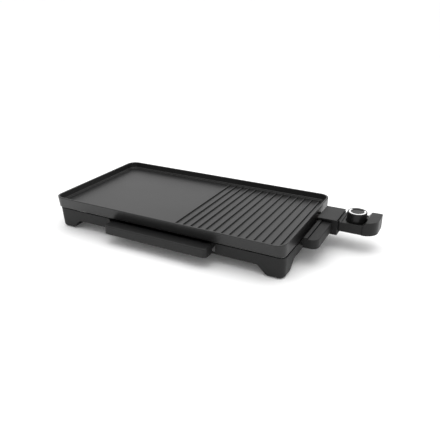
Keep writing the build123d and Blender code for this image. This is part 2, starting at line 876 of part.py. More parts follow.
def tray_bar():
    """The long front pull, hollow from below for the fingers."""
    outline = make_face(Polyline((bar_front, bar_bottom), (bar_front, bar_front_top),
                                 (bar_back, bar_back_top), (bar_back, bar_bottom), close=True))
    bar = extrude(Plane.YZ * outline, amount=bar_length / 2, both=True)
    bar = mirror(bar, about=Plane.XZ)
    front_uprights = [e for e in bar.edges().filter_by(Axis.Z) if e.center().Y < -bar_front + 1]
    bar = fillet(front_uprights, radius=bar_end_round)
    brow = [e for e in bar.edges() if e.center().Z > bar_back_top - 0.5
            and e.center().Y < -bar_back - 0.5]
    bar = fillet(brow, radius=bar_brow_round)
    pocket = box_between((-bar_length / 2 + bar_end_round, -bar_front + bar_wall, bar_bottom - 1),
                         (bar_length / 2 - bar_end_round, -bar_back - bar_wall,
                          bar_front_top - bar_wall - 1))
    bar -= pocket
    for x in bar_screw_places():
        bar += rod_y(-bar_back - bar_boss_length, -bar_back - 0.5, x, bar_screw_z(),
                     small_screw / 2 + 2)
    for x in bar_screw_places():
        bar -= rod_y(-bar_back - bar_boss_length + 1, -bar_back + 1, x, bar_screw_z(),
                     small_screw / 2 + close_fit)
    return bar


def tray_bar_screws():
    screws = []
    for x in bar_screw_places():
        head_face = -bar_back + 2 * tray_wall
        screw = rod_y(head_face, head_face + small_head_height, x, bar_screw_z(), small_head / 2)
        screw += rod_y(-bar_back - bar_boss_length + 2, head_face, x, bar_screw_z(),
                       small_screw / 2)
        screws.append(screw)
    return screws


# --- temperature controller ---
def controller_outline(inset):
    """The controller's plan: square at the plug end, swept round at the free front corner."""
    low_y = controller_y - body_half_width + inset
    high_y = controller_y + body_half_width - inset
    near_x = body_start + inset
    far_x = body_end - inset
    outline = Polyline((near_x, low_y), (ramp_x - end_crease, low_y),
                       (ramp_x + end_crease, low_y - end_proud), (far_x, low_y - end_proud),
                       (far_x, high_y), (near_x, high_y), close=True)
    face = make_face(outline)
    corners = face.vertices()
    front = corners.group_by(Axis.X)[-1].sort_by(Axis.Y)[0]
    face = fillet(front, radius=front_sweep - inset)
    back = face.vertices().group_by(Axis.X)[-1].sort_by(Axis.Y)[-1]
    return fillet(back, radius=max(back_sweep - inset, 1.0))


def controller_envelope(inset):
    """The whole outside of the controller, or the same shape drawn in by a wall thickness."""
    low = body_bottom + inset
    tall = extrude(Plane.XY.offset(low) * controller_outline(inset), amount=end_top - inset - low)
    side_low = controller_y - body_half_width - end_proud - 1
    side_high = controller_y + body_half_width + 1
    profile = make_face(Polyline(
        (body_start - 1, deck_top - inset), (ramp_x, deck_top - inset),
        (ramp_x + ramp_length, end_top - 0.6 - inset), (body_end + 1, end_top - inset),
        (body_end + 1, end_top + 5), (body_start - 1, end_top + 5), close=True))
    above = extrude(Plane.XZ * profile, amount=-(side_high - side_low))
    tall -= Pos(0, side_low, 0) * above
    slope = make_face(Polyline(
        (side_low, deck_top - 1.0 - inset), (controller_y + body_half_width, end_top - inset),
        (side_high, end_top + 5), (side_low, end_top + 5), close=True))
    tall -= extrude(Pos(ramp_x, 0, 0) * Plane.YZ * slope, amount=body_end)
    nose = box_between((nose_start, controller_y - nose_half_width + inset, nose_bottom + inset),
                       (body_start + inset + 1, controller_y + nose_half_width - inset,
                        nose_top - inset))
    return tall + nose


def deck_recess_block(low, high, grow):
    """The sunken part of the deck, or the floor kept under it when grown."""
    low_y = controller_y - body_half_width + deck_lip - grow
    high_y = controller_y + body_half_width - deck_lip + grow
    block = box_between((body_start + deck_lip - grow, low_y, low),
                        (ramp_x - deck_end_gap + grow, high_y, high))
    return fillet(block.edges().filter_by(Axis.Z), radius=deck_corner)


def controller_hollow():
    """The room inside the shells, stopped below the sunken deck and the dial's well."""
    room = controller_envelope(shell_wall)
    room += box_between((nose_start - 1, controller_y - nose_half_width + shell_wall,
                         nose_bottom + shell_wall),
                        (body_start + shell_wall + 2, controller_y + nose_half_width - shell_wall,
                         nose_top - shell_wall))
    keep = rod_z(well_floor - shell_wall, end_top + 1, dial_x, dial_y, well_radius + dial_wall)
    keep += deck_recess_block(deck_floor - shell_wall, end_top + 1, shell_wall)
    return room - keep


def shell_screw_places():
    low_y = controller_y - body_half_width + shell_screw_inset
    high_y = controller_y + body_half_width - shell_screw_inset
    near_x = body_start + shell_screw_inset
    return [(near_x, low_y), (near_x, high_y), (dial_x + middle_screw_shift, high_y),
            (body_end - end_screw_inset, controller_y + body_half_width - end_screw_shift)]


def controller_shell():
    """Both shells in one, before they are split at the seam."""
    shell = controller_envelope(0)
    front_lip = [e for e in shell.edges() if abs(e.center().Z - deck_top) < 0.2
                 and e.center().Y < controller_y - body_half_width + 0.5]
    shell = fillet(front_lip, radius=deck_lip_round)
    shell -= controller_hollow()
    bosses = Part()
    for x, y in shell_screw_places():
        bosses += rod_z(body_bottom, end_top, x, y, shell_boss_radius)
    shell += bosses & controller_envelope(shell_wall / 2)
    shell -= deck_recess_block(deck_floor, end_top + 1, 0.0)
    shell -= rod_z(well_floor, end_top + 1, dial_x, dial_y, well_radius)
    shell += rod_z(well_floor - shell_wall - hub_wall, well_floor - 0.5, dial_x, dial_y,
                   spindle_diameter / 2 + hub_wall)
    shell -= rod_z(body_bottom + shell_wall, well_floor + 1, dial_x, dial_y,
                   spindle_diameter / 2 + spindle_clearance)
    for x, y in shell_screw_places():
        shell -= rod_z(body_bottom - 1, body_bottom + small_head_height, x, y,
                       small_head / 2 + fit_clearance)
        shell -= rod_z(body_bottom, body_bottom + shell_screw_length + 1, x, y,
                       small_screw / 2 + close_fit)
    shell -= lens_window(screw_clearance)
    gland_y = controller_y + body_half_width
    shell -= rod_y(gland_y - shell_wall - 1, gland_y + 1, gland_x(), gland_z(),
                   gland_bore / 2 + gland_wall)
    return shell


def controller_lower_shell():
    return controller_shell() & seam_block(body_bottom - 1, body_seam)


def controller_upper_shell():
    return controller_shell() & seam_block(body_seam, end_top + 1)


def seam_block(low, high):
    """A slab that keeps what lies between two heights of the controller."""
    reach = body_half_width + end_proud + 1
    return box_between((nose_start - 2, controller_y - reach, low),
                       (body_end + 2, controller_y + reach, high))


def shell_screws():
    screws = []
    for x, y in shell_screw_places():
        face = body_bottom + small_head_height
        screw = rod_z(body_bottom + fit_clearance, face, x, y, small_head / 2)
        screws.append(screw + rod_z(face, body_bottom + shell_screw_length, x, y,
                                    small_screw / 2))
    return screws


def lens_place():
    """The indicator's place on the deck, behind the dial."""
    return dial_x - lens_setback, controller_y + lens_shift


def lens_window(clearance):
    """The indicator's slot through the deck."""
    x, y = lens_place()
    slot = Plane.XY.offset(deck_floor - shell_wall - 1) * Pos(x, y) * RectangleRounded(
        lens_length + 2 * clearance, lens_width + 2 * clearance, lens_width / 2 - 0.1)
    return extrude(slot, amount=shell_wall + 2)


def indicator_lens():
    x, y = lens_place()
    face = Plane.XY.offset(deck_floor - shell_wall) * Pos(x, y) * RectangleRounded(
        lens_length, lens_width, lens_width / 2 - 0.1)
    lens = extrude(face, amount=shell_wall + lens_proud)
    return fillet(edges_at(lens, deck_floor + lens_proud), radius=lens_round)


def indicator_lamp():
    x, y = lens_place()
    z = deck_floor - shell_wall - fit_clearance - lamp_radius
    return rod_x(x - lamp_length / 2, x + lamp_length / 2, y, z, lamp_radius)


def gland_x():
    return body_end - end_length / 2 - gland_shift


def gland_z():
    return (body_bottom + deck_top) / 2


def cord_gland():
    wall_y = controller_y + body_half_width
    radius = gland_bore / 2 + gland_wall
    gland = rod_y(wall_y - shell_wall - gland_tail, wall_y + 0.4, gland_x(), gland_z(),
                  radius - screw_clearance)
    gland += rod_y(wall_y, wall_y + gland_flange, gland_x(), gland_z(),
                   radius + gland_flange_reach)
    gland -= rod_y(wall_y - 8, wall_y + 8, gland_x(), gland_z(), gland_bore / 2)
    return gland


def block_x():
    """Where the ceramic block starts, just inside the nose's open end."""
    return nose_start + block_start


def ceramic_block():
    low_z = element_z - block_height / 2
    block = box_between((block_x(), controller_y - block_half_width, low_z),
                        (block_x() + block_length, controller_y + block_half_width,
                         low_z + block_height))
    for y in (terminal_low_y, terminal_high_y):
        block -= rod_x(block_x() - 1, block_x() + block_length - blind_depth, y, element_z,
                       contact_outer / 2 + close_fit)
    block -= rod_x(block_x() - 1, block_x() + block_length + 1, controller_y, element_z,
                   probe_radius + close_fit)
    for y in (controller_y - block_half_width, controller_y + block_half_width):
        low = y if y < controller_y else y - block_foot
        foot = box_between((block_x() + block_foot, low, nose_bottom + shell_wall),
                           (block_x() + block_length - block_foot, low + block_foot, low_z + 1))
        block += foot
    return block


def receptacle_contacts():
    contacts = []
    for y in (terminal_low_y, terminal_high_y):
        closed_end = block_x() + block_length - blind_depth
        tube = rod_x(block_x(), closed_end, y, element_z, contact_outer / 2)
        bore = rod_x(block_x() - 1, closed_end - blind_depth, y, element_z,
                     terminal_diameter / 2 + contact_clearance)
        contacts.append(tube - bore)
    return contacts


def probe_tube():
    start = lead_end - probe_reach + probe_end_gap
    tube = rod_x(start, block_x() + block_length + 6, controller_y, element_z, probe_radius)
    return fillet(tube.edges().sort_by(Axis.X)[0], radius=probe_round)


def thermostat_frame():
    floor = body_bottom + shell_wall
    frame = box_between((body_start + shell_wall + 0.5, dial_y - 7, floor),
                        (dial_x + 18, dial_y + 7, floor + 1.2))
    frame += box_between((dial_x + 12, dial_y - 7, floor), (dial_x + 18, dial_y + 7, floor + 2.4))
    return frame


def bimetal_blade():
    floor = body_bottom + shell_wall + 2.4
    return box_between((dial_x - 16, dial_y - 4, floor), (dial_x + 17, dial_y + 4, floor + 0.8))


def contact_blades():
    floor = body_bottom + shell_wall + 3.2
    lower = box_between((dial_x + 9, dial_y - 3, floor), (dial_x + 17, dial_y + 3, floor + 1.6))
    blade = box_between((dial_x - 12, dial_y - 3, floor + 1.6), (dial_x + 17, dial_y + 3,
                                                                 floor + 2.1))
    return [lower + blade]


def dial_spindle():
    low = body_bottom + shell_wall + 5.3 + fit_clearance
    spindle = rod_z(low, well_floor + dial_skirt_gap + spindle_grip, dial_x, dial_y,
                    spindle_diameter / 2)
    flat = box_between((dial_x + spindle_diameter / 2 - spindle_flat, dial_y - 4, well_floor + 1),
                       (dial_x + 5, dial_y + 4, well_floor + spindle_grip + 2))
    return spindle - flat


def dial_knob():
    low = well_floor + dial_skirt_gap
    high = low + dial_height
    radius = dial_diameter / 2
    knob = rod_z(low, high, dial_x, dial_y, radius)
    knob = fillet(edges_at(knob, high), radius=dial_round)
    knob -= rod_z(high - dial_dish, high + 1, dial_x, dial_y, ring_inner / 2 - dial_dish)
    knob -= rod_z(low - 1, high - dial_cap, dial_x, dial_y, radius - dial_wall)
    hub = rod_z(low, high - hub_drop, dial_x, dial_y, spindle_diameter / 2 + hub_wall)
    bore = dial_spindle_bore(low)
    knob += hub
    knob -= bore
    return knob - ring_solid(screw_clearance)


def dial_spindle_bore(low):
    """The D-shaped hole that the spindle grips in."""
    bore = rod_z(low - 1, low + spindle_grip + 0.2, dial_x, dial_y,
                 spindle_diameter / 2 + close_fit)
    flat = box_between((dial_x + spindle_diameter / 2 - spindle_flat + close_fit, dial_y - 4,
                        well_floor + 1.2),
                       (dial_x + 5, dial_y + 4, low + spindle_grip + 2))
    return bore - flat


def ring_solid(clearance):
    """An open ring let into the dial's top, its opening at the back."""
    high = well_floor + dial_skirt_gap + dial_height
    band = rod_z(high - ring_depth - clearance, high + clearance, dial_x, dial_y,
                 ring_outer / 2 + clearance)
    band -= rod_z(high - 3, high + 2, dial_x, dial_y, ring_inner / 2 - clearance)
    half = ring_opening / 2
    wedge = Plane.XY.offset(high - 3) * Pos(dial_x, dial_y) * make_face(
        Line((0, 0), Vector(60, 0).rotate(Axis.Z, 90 - half + clearance))
        + Line(Vector(60, 0).rotate(Axis.Z, 90 - half + clearance),
               Vector(60, 0).rotate(Axis.Z, 90 + half - clearance))
        + Line(Vector(60, 0).rotate(Axis.Z, 90 + half - clearance), (0, 0)))
    return band - extrude(wedge, amount=6)


def dial_ring():
    return ring_solid(0.0)


# --- export ---
nodes = {
    "cooking_plate": cooking_plate,
    "heating_element": heating_element,
    "element_end_seals": element_end_seals,
    "terminal_pins": terminal_pins,
    "base_frame": base_frame,
    "foot_pads": foot_pads,
    "left_handle": left_handle,
    "right_handle": right_handle,
    "handle_screws": handle_screws,
    "inlet_housing": inlet_housing,
    "inlet_cover": inlet_cover,
    "inlet_screws": inlet_screws,
    "heat_shield": heat_shield,
    "insulating_spacers": insulating_spacers,
    "plate_screws": plate_screws,
    "left_tray_rail": lambda: tray_rail(-1),
    "right_tray_rail": lambda: tray_rail(1),
    "rail_screws": rail_screws,
    "drip_tray": drip_tray,
    "tray_bar": tray_bar,
    "tray_bar_screws": tray_bar_screws,
    "controller_lower_shell": controller_lower_shell,
    "controller_upper_shell": controller_upper_shell,
    "shell_screws": shell_screws,
    "ceramic_block": ceramic_block,
    "receptacle_contacts": receptacle_contacts,
    "probe_tube": probe_tube,
    "thermostat_frame": thermostat_frame,
    "bimetal_blade": bimetal_blade,
    "contact_blades": contact_blades,
    "dial_spindle": dial_spindle,
    "dial_knob": dial_knob,
    "dial_ring": dial_ring,
    "indicator_lens": indicator_lens,
    "indicator_lamp": indicator_lamp,
    "cord_gland": cord_gland,
}

os.makedirs("parts", exist_ok=True)
for name, make in nodes.items():
    shape = make()
    if isinstance(shape, list):
        shape = Compound(children=shape)
    export_step(Pos(-origin_x, -origin_y, 0) * shape, f"parts/{name}.step")
    print(name)
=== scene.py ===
import json
import math

import bmesh
import bpy
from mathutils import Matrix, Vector

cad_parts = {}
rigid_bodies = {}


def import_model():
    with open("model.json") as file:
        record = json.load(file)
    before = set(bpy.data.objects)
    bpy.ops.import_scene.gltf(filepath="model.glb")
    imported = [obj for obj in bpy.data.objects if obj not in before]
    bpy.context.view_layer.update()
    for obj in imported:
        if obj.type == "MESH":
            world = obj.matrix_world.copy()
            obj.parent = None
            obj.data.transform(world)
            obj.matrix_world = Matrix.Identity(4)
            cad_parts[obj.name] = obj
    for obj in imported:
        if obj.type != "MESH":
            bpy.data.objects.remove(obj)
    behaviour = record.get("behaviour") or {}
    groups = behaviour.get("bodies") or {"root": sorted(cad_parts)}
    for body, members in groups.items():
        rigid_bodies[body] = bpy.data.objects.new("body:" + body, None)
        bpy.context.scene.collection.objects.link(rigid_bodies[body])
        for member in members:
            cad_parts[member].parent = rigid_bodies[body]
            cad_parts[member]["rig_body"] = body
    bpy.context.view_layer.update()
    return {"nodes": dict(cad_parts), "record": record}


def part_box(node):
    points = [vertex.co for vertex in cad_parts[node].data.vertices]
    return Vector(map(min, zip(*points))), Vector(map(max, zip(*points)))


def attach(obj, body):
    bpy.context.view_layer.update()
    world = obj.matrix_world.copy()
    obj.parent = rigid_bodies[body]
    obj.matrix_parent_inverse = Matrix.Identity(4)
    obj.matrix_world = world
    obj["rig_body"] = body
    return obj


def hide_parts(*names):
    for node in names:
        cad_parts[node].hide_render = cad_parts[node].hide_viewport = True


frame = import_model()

nodes = frame["nodes"]
nodeBody = {name: thing["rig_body"] for name, thing in nodes.items()}
millimetre = 0.001
noiseRoughness = 0.55

for thing in list(bpy.data.objects):
    if thing.type in ("CAMERA", "LIGHT") or thing.name == "Cube":
        bpy.data.objects.remove(thing)
print("frame loaded:", len(nodes), "nodes")


# a Wire is one shader output; plain sums on it add Math nodes
class Wire:
    def __init__(self, finish, socket):
        self.finish = finish
        self.socket = socket

    def sum(self, operation, first, second):
        return self.finish.node("ShaderNodeMath", {"operation": operation}, {0: first, 1: second})

    def __add__(self, other):
        return self.sum("ADD", self, other)

    def __radd__(self, other):
        return self.sum("ADD", other, self)

    def __sub__(self, other):
        return self.sum("SUBTRACT", self, other)

    def __rsub__(self, other):
        return self.sum("SUBTRACT", other, self)

    def __mul__(self, other):
        return self.sum("MULTIPLY", self, other)

    def __rmul__(self, other):
        return self.sum("MULTIPLY", other, self)


# a Finish is one material on the Principled shader
class Finish:
    def __init__(self, name):
        self.material = bpy.data.materials.new(name)
        self.material.use_nodes = True
        self.tree = self.material.node_tree
        self.tree.nodes.clear()
        self.shader = self.tree.nodes.new("ShaderNodeBsdfPrincipled")
        output = self.tree.nodes.new("ShaderNodeOutputMaterial")
        self.tree.links.new(self.shader.outputs[0], output.inputs[0])
        self.place = self.node("ShaderNodeTexCoord", output="Object")

    def node(self, kind, settings=None, sockets=None, output=0):
        made = self.tree.nodes.new(kind)
        for key, value in (settings or {}).items():
            if key == "stops":
                for stop, (position, shade) in zip(made.color_ramp.elements, value):
                    stop.position = position
                    stop.color = (shade, shade, shade, 1.0)
            else:
                setattr(made, key, value)
        for key, value in (sockets or {}).items():
            self.feed(made.inputs[key], value)
        return Wire(self, made.outputs[output])

    def feed(self, socket, value):
        if isinstance(value, Wire):
            self.tree.links.new(value.socket, socket)
        else:
            socket.default_value = value

    # a number given here stays on the shader itself, without a node
    def dress(self, **values):
        for key, value in values.items():
            self.feed(self.shader.inputs[key.replace("_", " ")], value)
        return self.material

    # a texture's own coordinates, in features of the given sizes in metres
    def spread(self, sizes):
        scale = tuple(1.0 / size for size in sizes)
        return self.node("ShaderNodeMapping", None, {"Vector": self.place, "Scale": scale})

    def noise(self, sizes, detail, seed):
        where = self.spread(sizes)
        moved = self.node("ShaderNodeVectorMath", {"operation": "ADD"}, {0: where, 1: (seed,) * 3})
        return self.node("ShaderNodeTexNoise", None,
                         {"Vector": moved, "Scale": 1.0, "Detail": detail, "Roughness": noiseRoughness})

    def specks(self, size, share):
        cell = self.node("ShaderNodeTexVoronoi", None,
                         {"Vector": self.spread((size,) * 3), "Scale": 1.0})
        return self.node("ShaderNodeValToRGB", {"stops": [(0.0, 1.0), (share, 0.0)]}, {0: cell})

    def blend(self, mask, first, second):
        return self.node("ShaderNodeMix", {"data_type": "RGBA"}, {0: mask, 6: first, 7: second},
                         output=2)

    def bumps(self, height, depth):
        return self.node("ShaderNodeBump", None,
                         {"Height": height, "Distance": depth, "Strength": 1.0})


def colour(shade):
    return (shade, shade, shade, 1.0)


# a mottle between two greys, a little to each side of the given one
def mottle(finish, cloud, values):
    shade = values["shade"]
    return finish.blend(cloud, colour(shade * (1 - values["shadeShift"])),
                        colour(shade * (1 + values["shadeShift"])))


# black moulded plastic with a fine spark-eroded grain and faint handling marks
def mouldedPlastic(name, values):
    values = {**plasticShared, **values}
    finish = Finish(name)
    cloud = finish.noise((values["cloudSize"],) * 3, 3.0, values["seed"])
    grain = finish.noise((values["grainSize"],) * 3, 4.0, values["seed"] + 5)
    smear = finish.noise(values["smearSizes"], 2.0, values["seed"] + 9)
    rough = (values["roughness"] + (cloud - 0.5) * values["cloudRoughness"]
             + (smear - 0.5) * values["smear"])
    return finish.dress(Base_Color=mottle(finish, cloud, values), Roughness=rough,
                        Specular_IOR_Level=values["gloss"],
                        Normal=finish.bumps(grain, values["grainDepth"]))


# sprayed non-stick coat over a cast plate: flecked, slightly rippled, satin
def nonstickCoat(name, values):
    finish = Finish(name)
    cloud = finish.noise(values["cloudSizes"], 3.0, values["seed"])
    fleck = finish.specks(values["fleckSize"], values["fleckShare"])
    ripple = finish.noise((values["rippleSize"],) * 3, 2.0, values["seed"] + 3)
    pits = finish.noise((values["pitSize"],) * 3, 3.0, values["seed"] + 7)
    base = finish.blend(fleck * values["fleckStrength"], mottle(finish, cloud, values),
                        colour(values["fleckShade"]))
    rough = (values["roughness"] + (cloud - 0.5) * values["cloudRoughness"]
             + (pits - 0.5) * values["pitRoughness"])
    height = ripple * (1 - values["pitHeight"]) + pits * values["pitHeight"]
    return finish.dress(Base_Color=base, Roughness=rough, Specular_IOR_Level=values["gloss"],
                        Normal=finish.bumps(height, values["rippleDepth"]))


# drawn or rolled metal with streaks along one axis
def workedMetal(name, values):
    values = {**metalShared, **values}
    finish = Finish(name)
    streak = finish.noise(values["streakSizes"], 4.0, values["seed"])
    stain = finish.noise((values["stainSize"],) * 3, 3.0, values["seed"] + 4)
    base = finish.blend(stain, values["light"], values["dark"])
    rough = (values["roughness"] + (streak - 0.5) * values["streakStrength"]
             + stain * values["stainRoughness"])
    return finish.dress(Base_Color=base, Roughness=rough, Metallic=1.0,
                        Normal=finish.bumps(streak, values["streakDepth"]))


# matt fired ceramic with open pores
def firedCeramic(name, values):
    finish = Finish(name)
    cloud = finish.noise((values["cloudSize"],) * 3, 3.0, values["seed"])
    pores = finish.specks(values["poreSize"], values["poreShare"])
    base = finish.blend(cloud, values["light"], values["dark"])
    return finish.dress(Base_Color=base,
                        Roughness=values["roughness"] + cloud * values["cloudRoughness"],
                        Normal=finish.bumps(1.0 - pores, values["poreDepth"]))


def softRubber(name, values):
    values = {**rubberShared, **values}
    finish = Finish(name)
    cloud = finish.noise((values["cloudSize"],) * 3, 3.0, values["seed"])
    grain = finish.noise((values["grainSize"],) * 3, 3.0, values["grainSeed"])
    base = finish.blend(cloud, colour(values["shade"] * values["darkest"]),
                        colour(values["shade"] * values["lightest"]))
    return finish.dress(Base_Color=base,
                        Roughness=values["roughness"] + cloud * values["cloudRoughness"],
                        Normal=finish.bumps(grain, values["grainDepth"]))


# smooth moulded pieces: the dial's inlaid ring, the lens and the lamp
def smoothMoulding(name, values):
    finish = Finish(name)
    cloud = finish.noise((values["cloudSize"],) * 3, 2.0, values["seed"])
    base = finish.blend(cloud, values["light"], values["dark"])
    return finish.dress(Base_Color=base,
                        Roughness=values["roughness"] + cloud * values["cloudRoughness"],
                        Normal=finish.bumps(cloud, values["cloudDepth"]))


plasticShared = {"shadeShift": 0.15, "cloudRoughness": 0.06, "smearSizes": (0.05, 0.012, 0.03)}
plasticValues = {
    "base": {"shade": 0.013, "roughness": 0.50, "gloss": 0.23, "smear": 0.05, "cloudSize": 0.06,
             "grainSize": 0.0006, "grainDepth": 0.00004, "seed": 1.0},
    "handle": {"shade": 0.011, "roughness": 0.48, "gloss": 0.22, "smear": 0.07, "cloudSize": 0.04,
               "grainSize": 0.0007, "grainDepth": 0.00004, "seed": 2.0},
    "housing": {"shade": 0.011, "roughness": 0.46, "gloss": 0.26, "smear": 0.05, "cloudSize": 0.03,
                "grainSize": 0.0006, "grainDepth": 0.00004, "seed": 3.0},
    "bar": {"shade": 0.016, "roughness": 0.50, "gloss": 0.25, "smear": 0.06, "cloudSize": 0.05,
            "grainSize": 0.0006, "grainDepth": 0.00004, "seed": 4.0},
    "tray": {"shade": 0.012, "roughness": 0.35, "gloss": 0.30, "smear": 0.08, "cloudSize": 0.05,
             "grainSize": 0.0012, "grainDepth": 0.00002, "seed": 5.0},
    "controller": {"shade": 0.010, "roughness": 0.42, "gloss": 0.25, "smear": 0.06, "cloudSize": 0.03,
                   "grainSize": 0.0006, "grainDepth": 0.00003, "seed": 6.0},
    "rail": {"shade": 0.009, "roughness": 0.44, "gloss": 0.30, "smear": 0.05, "cloudSize": 0.02,
             "grainSize": 0.0005, "grainDepth": 0.00002, "seed": 8.0},
    "dial": {"shade": 0.008, "roughness": 0.30, "gloss": 0.25, "smear": 0.05, "cloudSize": 0.02,
             "grainSize": 0.0005, "grainDepth": 0.00002, "seed": 7.0},
}
coatValues = {
    "shade": 0.010, "shadeShift": 0.08, "roughness": 0.35, "gloss": 0.43, "seed": 11.0,
    "cloudSizes": (0.11, 0.07, 0.09), "cloudRoughness": 0.05,
    "fleckSize": 0.0022, "fleckShare": 0.16, "fleckStrength": 0.35, "fleckShade": 0.03,
    "pitSize": 0.0009, "pitRoughness": 0.08, "pitHeight": 0.3,
    "rippleSize": 0.004, "rippleDepth": 0.00003}
metalShared = {"stainSize": 0.02, "stainRoughness": 0.06}
metalValues = {
    "element": {"light": (0.12, 0.11, 0.10, 1), "dark": (0.06, 0.055, 0.05, 1), "roughness": 0.48,
                "streakSizes": (0.004, 0.004, 0.004), "streakStrength": 0.12,
                "streakDepth": 0.00002, "seed": 1.0},
    "pin": {"light": (0.78, 0.77, 0.75, 1), "dark": (0.66, 0.65, 0.63, 1), "roughness": 0.20,
            "streakSizes": (0.02, 0.0004, 0.0004), "streakStrength": 0.10,
            "streakDepth": 0.00001, "seed": 2.0},
    "screw": {"light": (0.62, 0.61, 0.58, 1), "dark": (0.50, 0.49, 0.46, 1), "roughness": 0.32,
              "streakSizes": (0.001, 0.001, 0.001), "streakStrength": 0.15,
              "streakDepth": 0.00001, "seed": 3.0},
    "shield": {"light": (0.14, 0.14, 0.13, 1), "dark": (0.09, 0.09, 0.08, 1), "roughness": 0.60,
               "streakSizes": (0.08, 0.0012, 0.01), "streakStrength": 0.14,
               "streakDepth": 0.00001, "seed": 4.0},
    "brass": {"light": (0.80, 0.64, 0.34, 1), "dark": (0.62, 0.47, 0.22, 1), "roughness": 0.30,
              "streakSizes": (0.01, 0.0006, 0.0006), "streakStrength": 0.12,
              "streakDepth": 0.00001, "seed": 6.0},
    "probe": {"light": (0.42, 0.41, 0.40, 1), "dark": (0.30, 0.29, 0.28, 1), "roughness": 0.40,
              "streakSizes": (0.03, 0.0004, 0.0004), "streakStrength": 0.14,
              "streakDepth": 0.00001, "seed": 7.0},
}
ceramicValues = {"light": (0.86, 0.84, 0.78, 1), "dark": (0.76, 0.73, 0.66, 1), "roughness": 0.72,
                 "cloudSize": 0.01, "cloudRoughness": 0.1, "poreSize": 0.0007, "poreShare": 0.35,
                 "poreDepth": 0.00006, "seed": 2.0}
rubberShared = {"roughness": 0.78, "darkest": 0.8, "lightest": 1.25, "cloudSize": 0.006,
                "cloudRoughness": 0.1, "grainSize": 0.0008, "grainDepth": 0.00005, "grainSeed": 6.0}
rubberValues = {"pad": {"shade": 0.03, "seed": 1.0}, "gland": {"shade": 0.022, "seed": 2.0}}
smoothValues = {
    "ring": {"light": colour(0.86 * 0.97), "dark": colour(0.86 * 1.02), "roughness": 0.30,
             "cloudSize": 0.004, "cloudRoughness": 0.05, "cloudDepth": 0.00002, "seed": 1.0},
    "lens": {"light": (0.42, 0.40, 0.39, 1), "dark": (0.32, 0.30, 0.29, 1), "roughness": 0.12,
             "cloudSize": 0.003, "cloudRoughness": 0.08, "cloudDepth": 0.00002, "seed": 3.0},
    "lamp": {"light": (0.95, 0.62, 0.42, 1), "dark": (0.80, 0.50, 0.33, 1), "roughness": 0.12,
             "cloudSize": 0.003, "cloudRoughness": 0.08, "cloudDepth": 0.00002, "seed": 3.0},
}
finishes = {
    "nonstick_plate": nonstickCoat("sprayedNonstick", coatValues),
    "base_plastic": mouldedPlastic("baseMoulding", plasticValues["base"]),
    "handle_plastic": mouldedPlastic("handleMoulding", plasticValues["handle"]),
    "housing_plastic": mouldedPlastic("housingMoulding", plasticValues["housing"]),
    "bar_plastic": mouldedPlastic("pullMoulding", plasticValues["bar"]),
    "tray_plastic": mouldedPlastic("trayMoulding", plasticValues["tray"]),
    "controller_plastic": mouldedPlastic("controllerMoulding", plasticValues["controller"]),
    "dial_plastic": mouldedPlastic("dialMoulding", plasticValues["dial"]),
    "element_steel": workedMetal("sheathSteel", metalValues["element"]),
    "pin_steel": workedMetal("platedPin", metalValues["pin"]),
    "screw_steel": workedMetal("zincScrew", metalValues["screw"]),
    "shield_steel": workedMetal("aluminisedSheet", metalValues["shield"]),
    # painted shade: the rails and the frame that shares their slot get a near-black moulding finish, so
    # the gaps at the pull's ends stay dark
    "rail_steel": mouldedPlastic("railDarkPaintedShade", plasticValues["rail"]),
    "contact_brass": workedMetal("stampedBrass", metalValues["brass"]),
    "probe_steel": workedMetal("drawnTube", metalValues["probe"]),
    "ceramic": firedCeramic("firedSteatite", ceramicValues),
    "foot_rubber": softRubber("padRubber", rubberValues["pad"]),
    "gland_rubber": softRubber("glandRubber", rubberValues["gland"]),
    "ring_enamel": smoothMoulding("whiteInlay", smoothValues["ring"]),
    "lens_plastic": smoothMoulding("lensMoulding", smoothValues["lens"]),
    "lamp_glass": smoothMoulding("neonGlass", smoothValues["lamp"]),
}
for part in frame["record"]["subparts"]:
    mesh = nodes[part["node"]].data
    mesh.materials.clear()
    mesh.materials.append(finishes[part["material_slot"]])
print("finishes made:", len(finishes))


